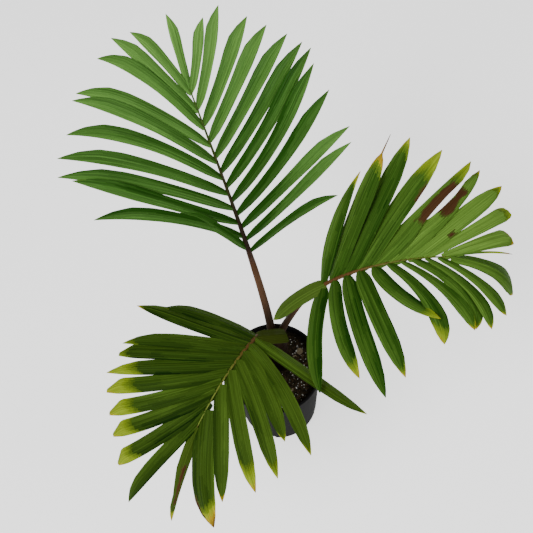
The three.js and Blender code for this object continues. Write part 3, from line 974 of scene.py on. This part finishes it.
def stem_material():
    skin = Surface("stem_sheath", (0.03, 0.015, 0.009), roughness=0.6, Specular_IOR_Level=0.008)
    fibres = skin.noise(skin.place("Object", (1, 1, 0.08)), scale=900, detail=5)
    patches = skin.noise(skin.place("Object", (1, 1, 0.5)), scale=60, detail=4)
    tone = skin.ramp(patches, [
        (0.3, (0.008, 0.005, 0.003)), (0.5, (0.016, 0.008, 0.005)), (0.7, (0.03, 0.018, 0.009)),
    ])
    skin.colour(skin.blend(fibres, tone, (0.008, 0.005, 0.003)))
    skin.bump(fibres, strength=0.5, distance=0.0006)
    return skin.material


# Pot

def wall_radius(z):
    """Outer radius of the tapering wall at a height."""
    return FOOT_RADIUS + (LIP_RADIUS - LIP_PROUD - FOOT_RADIUS) * z / POT_HEIGHT


def arc(centre, radius, start, end, steps):
    """Points on an arc of a profile, from and to angles in degrees."""
    angles = [math.radians(start + (end - start) * k / steps) for k in range(steps + 1)]
    return [(centre[0] + radius * math.cos(a), centre[1] + radius * math.sin(a)) for a in angles]


def pot_profile():
    """Half section, from the underside up the outside, over the lip and down the inside to the floor."""
    lip_foot = POT_HEIGHT - LIP_HEIGHT
    inner_lip = wall_radius(POT_HEIGHT) - WALL
    ring = FOOT_RADIUS - FOOT_RING
    profile = [(0, UNDERSIDE_RISE), (ring, UNDERSIDE_RISE), (ring + FOOT_RING_SLOPE, 0)]
    profile += arc((FOOT_RADIUS - FOOT_ROUND, FOOT_ROUND), FOOT_ROUND, -90, 0, 5)
    profile += [(wall_radius(z), z) for z in OUTER_ROWS]
    profile.append((wall_radius(lip_foot), lip_foot - UNDERLIP_DOWN))
    profile.append((wall_radius(lip_foot) + UNDERLIP_OUT, lip_foot))
    profile += arc((LIP_RADIUS - LIP_FILLET, lip_foot + LIP_FILLET), LIP_FILLET, -90, 0, 4)
    profile += arc((LIP_RADIUS - LIP_ROUND, POT_HEIGHT - LIP_ROUND), LIP_ROUND, 0, 90, 5)
    profile += arc((inner_lip + LIP_FILLET, POT_HEIGHT - LIP_FILLET), LIP_FILLET, 90, 180, 4)
    profile += [(wall_radius(z) - WALL, z) for z in INNER_ROWS]
    profile += arc((wall_radius(FLOOR) - WALL - FLOOR_FILLET, FLOOR + FLOOR_FILLET), FLOOR_FILLET, 0, -90, 4)
    return profile + [(0, FLOOR)]


def make_pot(skin):
    shell = mesh_of("pot_shell", spun(pot_profile(), POT_SIDES))
    pot = add_piece("pot_shell", shell, "pot", [skin])
    cutter = drain_cutter()
    cut = pot.modifiers.new("drain", "BOOLEAN")
    cut.operation = "DIFFERENCE"
    cut.object = cutter
    apply_modifiers(pot)
    bpy.data.objects.remove(cutter)


def drain_cutter():
    """A box through the foot of the wall for each drain slot, with rounded upper corners."""
    form = bmesh.new()
    for k in range(DRAIN_COUNT):
        made = bmesh.ops.create_cube(form, size=1)["verts"]
        turn = Matrix.Rotation(math.radians(DRAIN_BEARING + k * 360 / DRAIN_COUNT), 4, "Z")
        size = Matrix.Diagonal((2 * DRAIN_REACH, DRAIN_WIDTH, 2 * DRAIN_HEIGHT, 1))
        bmesh.ops.transform(form, matrix=turn @ Matrix.Translation((FOOT_RADIUS, 0, 0)) @ size, verts=made)
    upper = [e for e in form.edges if all(v.co.z > 0 for v in e.verts) and runs_outward(e)]
    bmesh.ops.bevel(
        form, geom=upper, offset=DRAIN_CORNER, offset_type="OFFSET", segments=DRAIN_CORNER_STEPS,
        profile=0.5, affect="EDGES", material=-1,
    )
    return new_object("drain_cutter", mesh_of("drain_cutter", form))


def runs_outward(edge):
    """Whether an edge of a box runs along a radius of the pot."""
    middle = (edge.verts[0].co + edge.verts[1].co) / 2
    run = (edge.verts[1].co - edge.verts[0].co).normalized()
    return abs(run.dot(Vector((middle.x, middle.y, 0)).normalized())) > 0.9


def apply_modifiers(piece):
    graph = bpy.context.evaluated_depsgraph_get()
    mesh = bpy.data.meshes.new_from_object(piece.evaluated_get(graph))
    piece.modifiers.clear()
    piece.data = mesh
    mesh.shade_smooth()
    mesh.set_sharp_from_angle(angle=math.radians(POT_CREASE))


def pot_material():
    skin = Surface("pot_plastic", (0.015, 0.015, 0.015), roughness=0.6, Specular_IOR_Level=0.003)
    dust = skin.noise(skin.place("Object", (1, 1, 0.5)), scale=30, detail=5)
    grain = skin.noise(skin.place("Object"), scale=1400, detail=2)
    skin.colour(skin.ramp(dust, [(0.35, (0.013, 0.013, 0.013)), (0.75, (0.019, 0.019, 0.019))]))
    skin.roughness(dust, low=0.4, high=0.65)
    skin.bump(grain, strength=0.15, distance=0.0002)
    return skin.material


# Soil

def soil_height(x, y):
    """Rise of the loose surface above its level."""
    lumps = sum(rise * noise.noise(Vector((x, y, layer)) / width) for rise, width, layer in SOIL_LUMPS)
    edge = max(0, math.hypot(x, y) / SOIL_REACH - (1 - SOIL_EDGE)) / SOIL_EDGE
    return lumps - SOIL_EDGE_DROP * edge ** 2


def make_soil(skins):
    inside = wall_radius(SOIL_TOP) - WALL - GAP
    profile = [(0, FLOOR + GAP), (wall_radius(FLOOR) - WALL - FLOOR_FILLET, FLOOR + GAP)]
    profile += [(wall_radius(SOIL_SHOULDER) - WALL - GAP, SOIL_SHOULDER), (inside, SOIL_RIM)]
    profile += [(inside * (1 - k / SOIL_RINGS), SOIL_LEVEL) for k in range(1, SOIL_RINGS)]
    form = spun(profile + [(0, SOIL_LEVEL)], SOIL_SIDES)
    for vertex in form.verts:
        if vertex.co.z > (SOIL_RIM + SOIL_LEVEL) / 2:
            vertex.co.z += soil_height(vertex.co.x, vertex.co.y)
    add_piece("soil_bed", mesh_of("soil_bed", form), "soil", [skins["potting_mix"]])
    dice = random.Random(GRAIN_SEED)
    for name, (skin, count, low, high, flat) in GRAINS.items():
        form = bmesh.new()
        for _ in range(count):
            scatter_grain(form, dice, dice.uniform(low, high), flat)
        if name == "soil_chips":
            for place, size in PLACED_CHIPS:
                lay_grain(form, dice, *place, size, flat)
        add_piece(name, mesh_of(name, form), "soil", [skins[skin]], smooth=False)


def scatter_grain(form, dice, size, flat):
    """One rough grain, lying in the surface clear of the stem and the wall."""
    while True:
        reach = (SOIL_REACH - size) * math.sqrt(dice.random())
        angle = dice.uniform(0, 2 * math.pi)
        x, y = reach * math.cos(angle), reach * math.sin(angle)
        if (Vector((x, y)) - STEM_FOOT).length > STEM_RADIUS[0][1] + size / 2:
            break
    lay_grain(form, dice, x, y, size, flat)


def lay_grain(form, dice, x, y, size, flat):
    """One rough grain at a place on the surface, turned and tilted by chance."""
    made = bmesh.ops.create_icosphere(form, subdivisions=1, radius=0.5)["verts"]
    width, depth = size * dice.uniform(*GRAIN_WIDTH), size * flat * dice.uniform(*GRAIN_DEPTH)
    stretch = Matrix.Diagonal((size * dice.uniform(*GRAIN_LENGTH), width, depth, 1))
    for vertex in made:
        vertex.co *= dice.uniform(*GRAIN_ROUGH)
    turn = Matrix.Rotation(dice.uniform(0, 2 * math.pi), 4, "Z")
    turn @= Matrix.Rotation(dice.uniform(-GRAIN_TILT, GRAIN_TILT), 4, "X")
    lie = Matrix.Translation((x, y, SOIL_LEVEL + soil_height(x, y) + size * flat * GRAIN_PROUD))
    bmesh.ops.transform(form, matrix=lie @ turn @ stretch, verts=made)


def soil_material(name, dark, light, roughness):
    skin = Surface(name, dark, roughness, Specular_IOR_Level=0.1)
    clods = skin.noise(skin.place("Object"), scale=260, detail=5, roughness=0.65)
    skin.colour(skin.ramp(clods, [(0.35, dark), (0.7, light)]))
    skin.bump(clods, strength=0.8, distance=0.0012)
    return skin.material


# Room: pale floor, soft light and the photograph's camera

def make_room():
    form = bmesh.new()
    bmesh.ops.create_grid(form, x_segments=1, y_segments=1, size=FLOOR_REACH)
    floor = new_object("floor", mesh_of("floor", form))
    paper = Surface(
        "paper", (0.9, 0.9, 0.9), roughness=0.9, Emission_Color=(1, 1, 1, 1), Emission_Strength=FLOOR_GLOW,
    )
    floor.data.materials.append(paper.material)
    world = bpy.data.worlds.new("studio")
    world.use_nodes = True
    world.node_tree.nodes["Background"].inputs["Color"].default_value = (1, 1, 1, 1)
    world.node_tree.nodes["Background"].inputs["Strength"].default_value = WORLD_STRENGTH
    bpy.context.scene.world = world
    for name, place, size, power in LIGHTS:
        lamp = bpy.data.lights.new(name, "AREA")
        lamp.shape = "DISK"
        lamp.size = size
        lamp.energy = power
        light = new_object(name, lamp)
        light.location = place
        light.rotation_euler = (LIGHTS_AIM - Vector(place)).to_track_quat("-Z", "Y").to_euler()


def make_camera():
    lens = bpy.data.cameras.new("photo")
    lens.sensor_width = SENSOR
    lens.lens = SENSOR * FOCAL_PIXELS / PHOTO_PIXELS
    lens.clip_end = CLIP_END
    camera = new_object("photo", lens)
    pitch = Matrix.Rotation(math.radians(90 - CAMERA_DOWN), 4, "X")
    roll = Matrix.Rotation(math.radians(-CAMERA_ROLL), 4, "Z")
    camera.matrix_world = Matrix.Translation(CAMERA_PLACE * MM) @ pitch @ roll
    bpy.context.scene.camera = camera


make_camera()
make_room()
make_pot(pot_material())
make_soil({name: soil_material(name, *look) for name, look in SOIL_SKINS.items()})
make_stem(stem_material())
petiole_skin = petiole_material()
for place, frond in FRONDS.items():
    make_petiole(place, frond, petiole_skin)
    make_frond(place, frond)
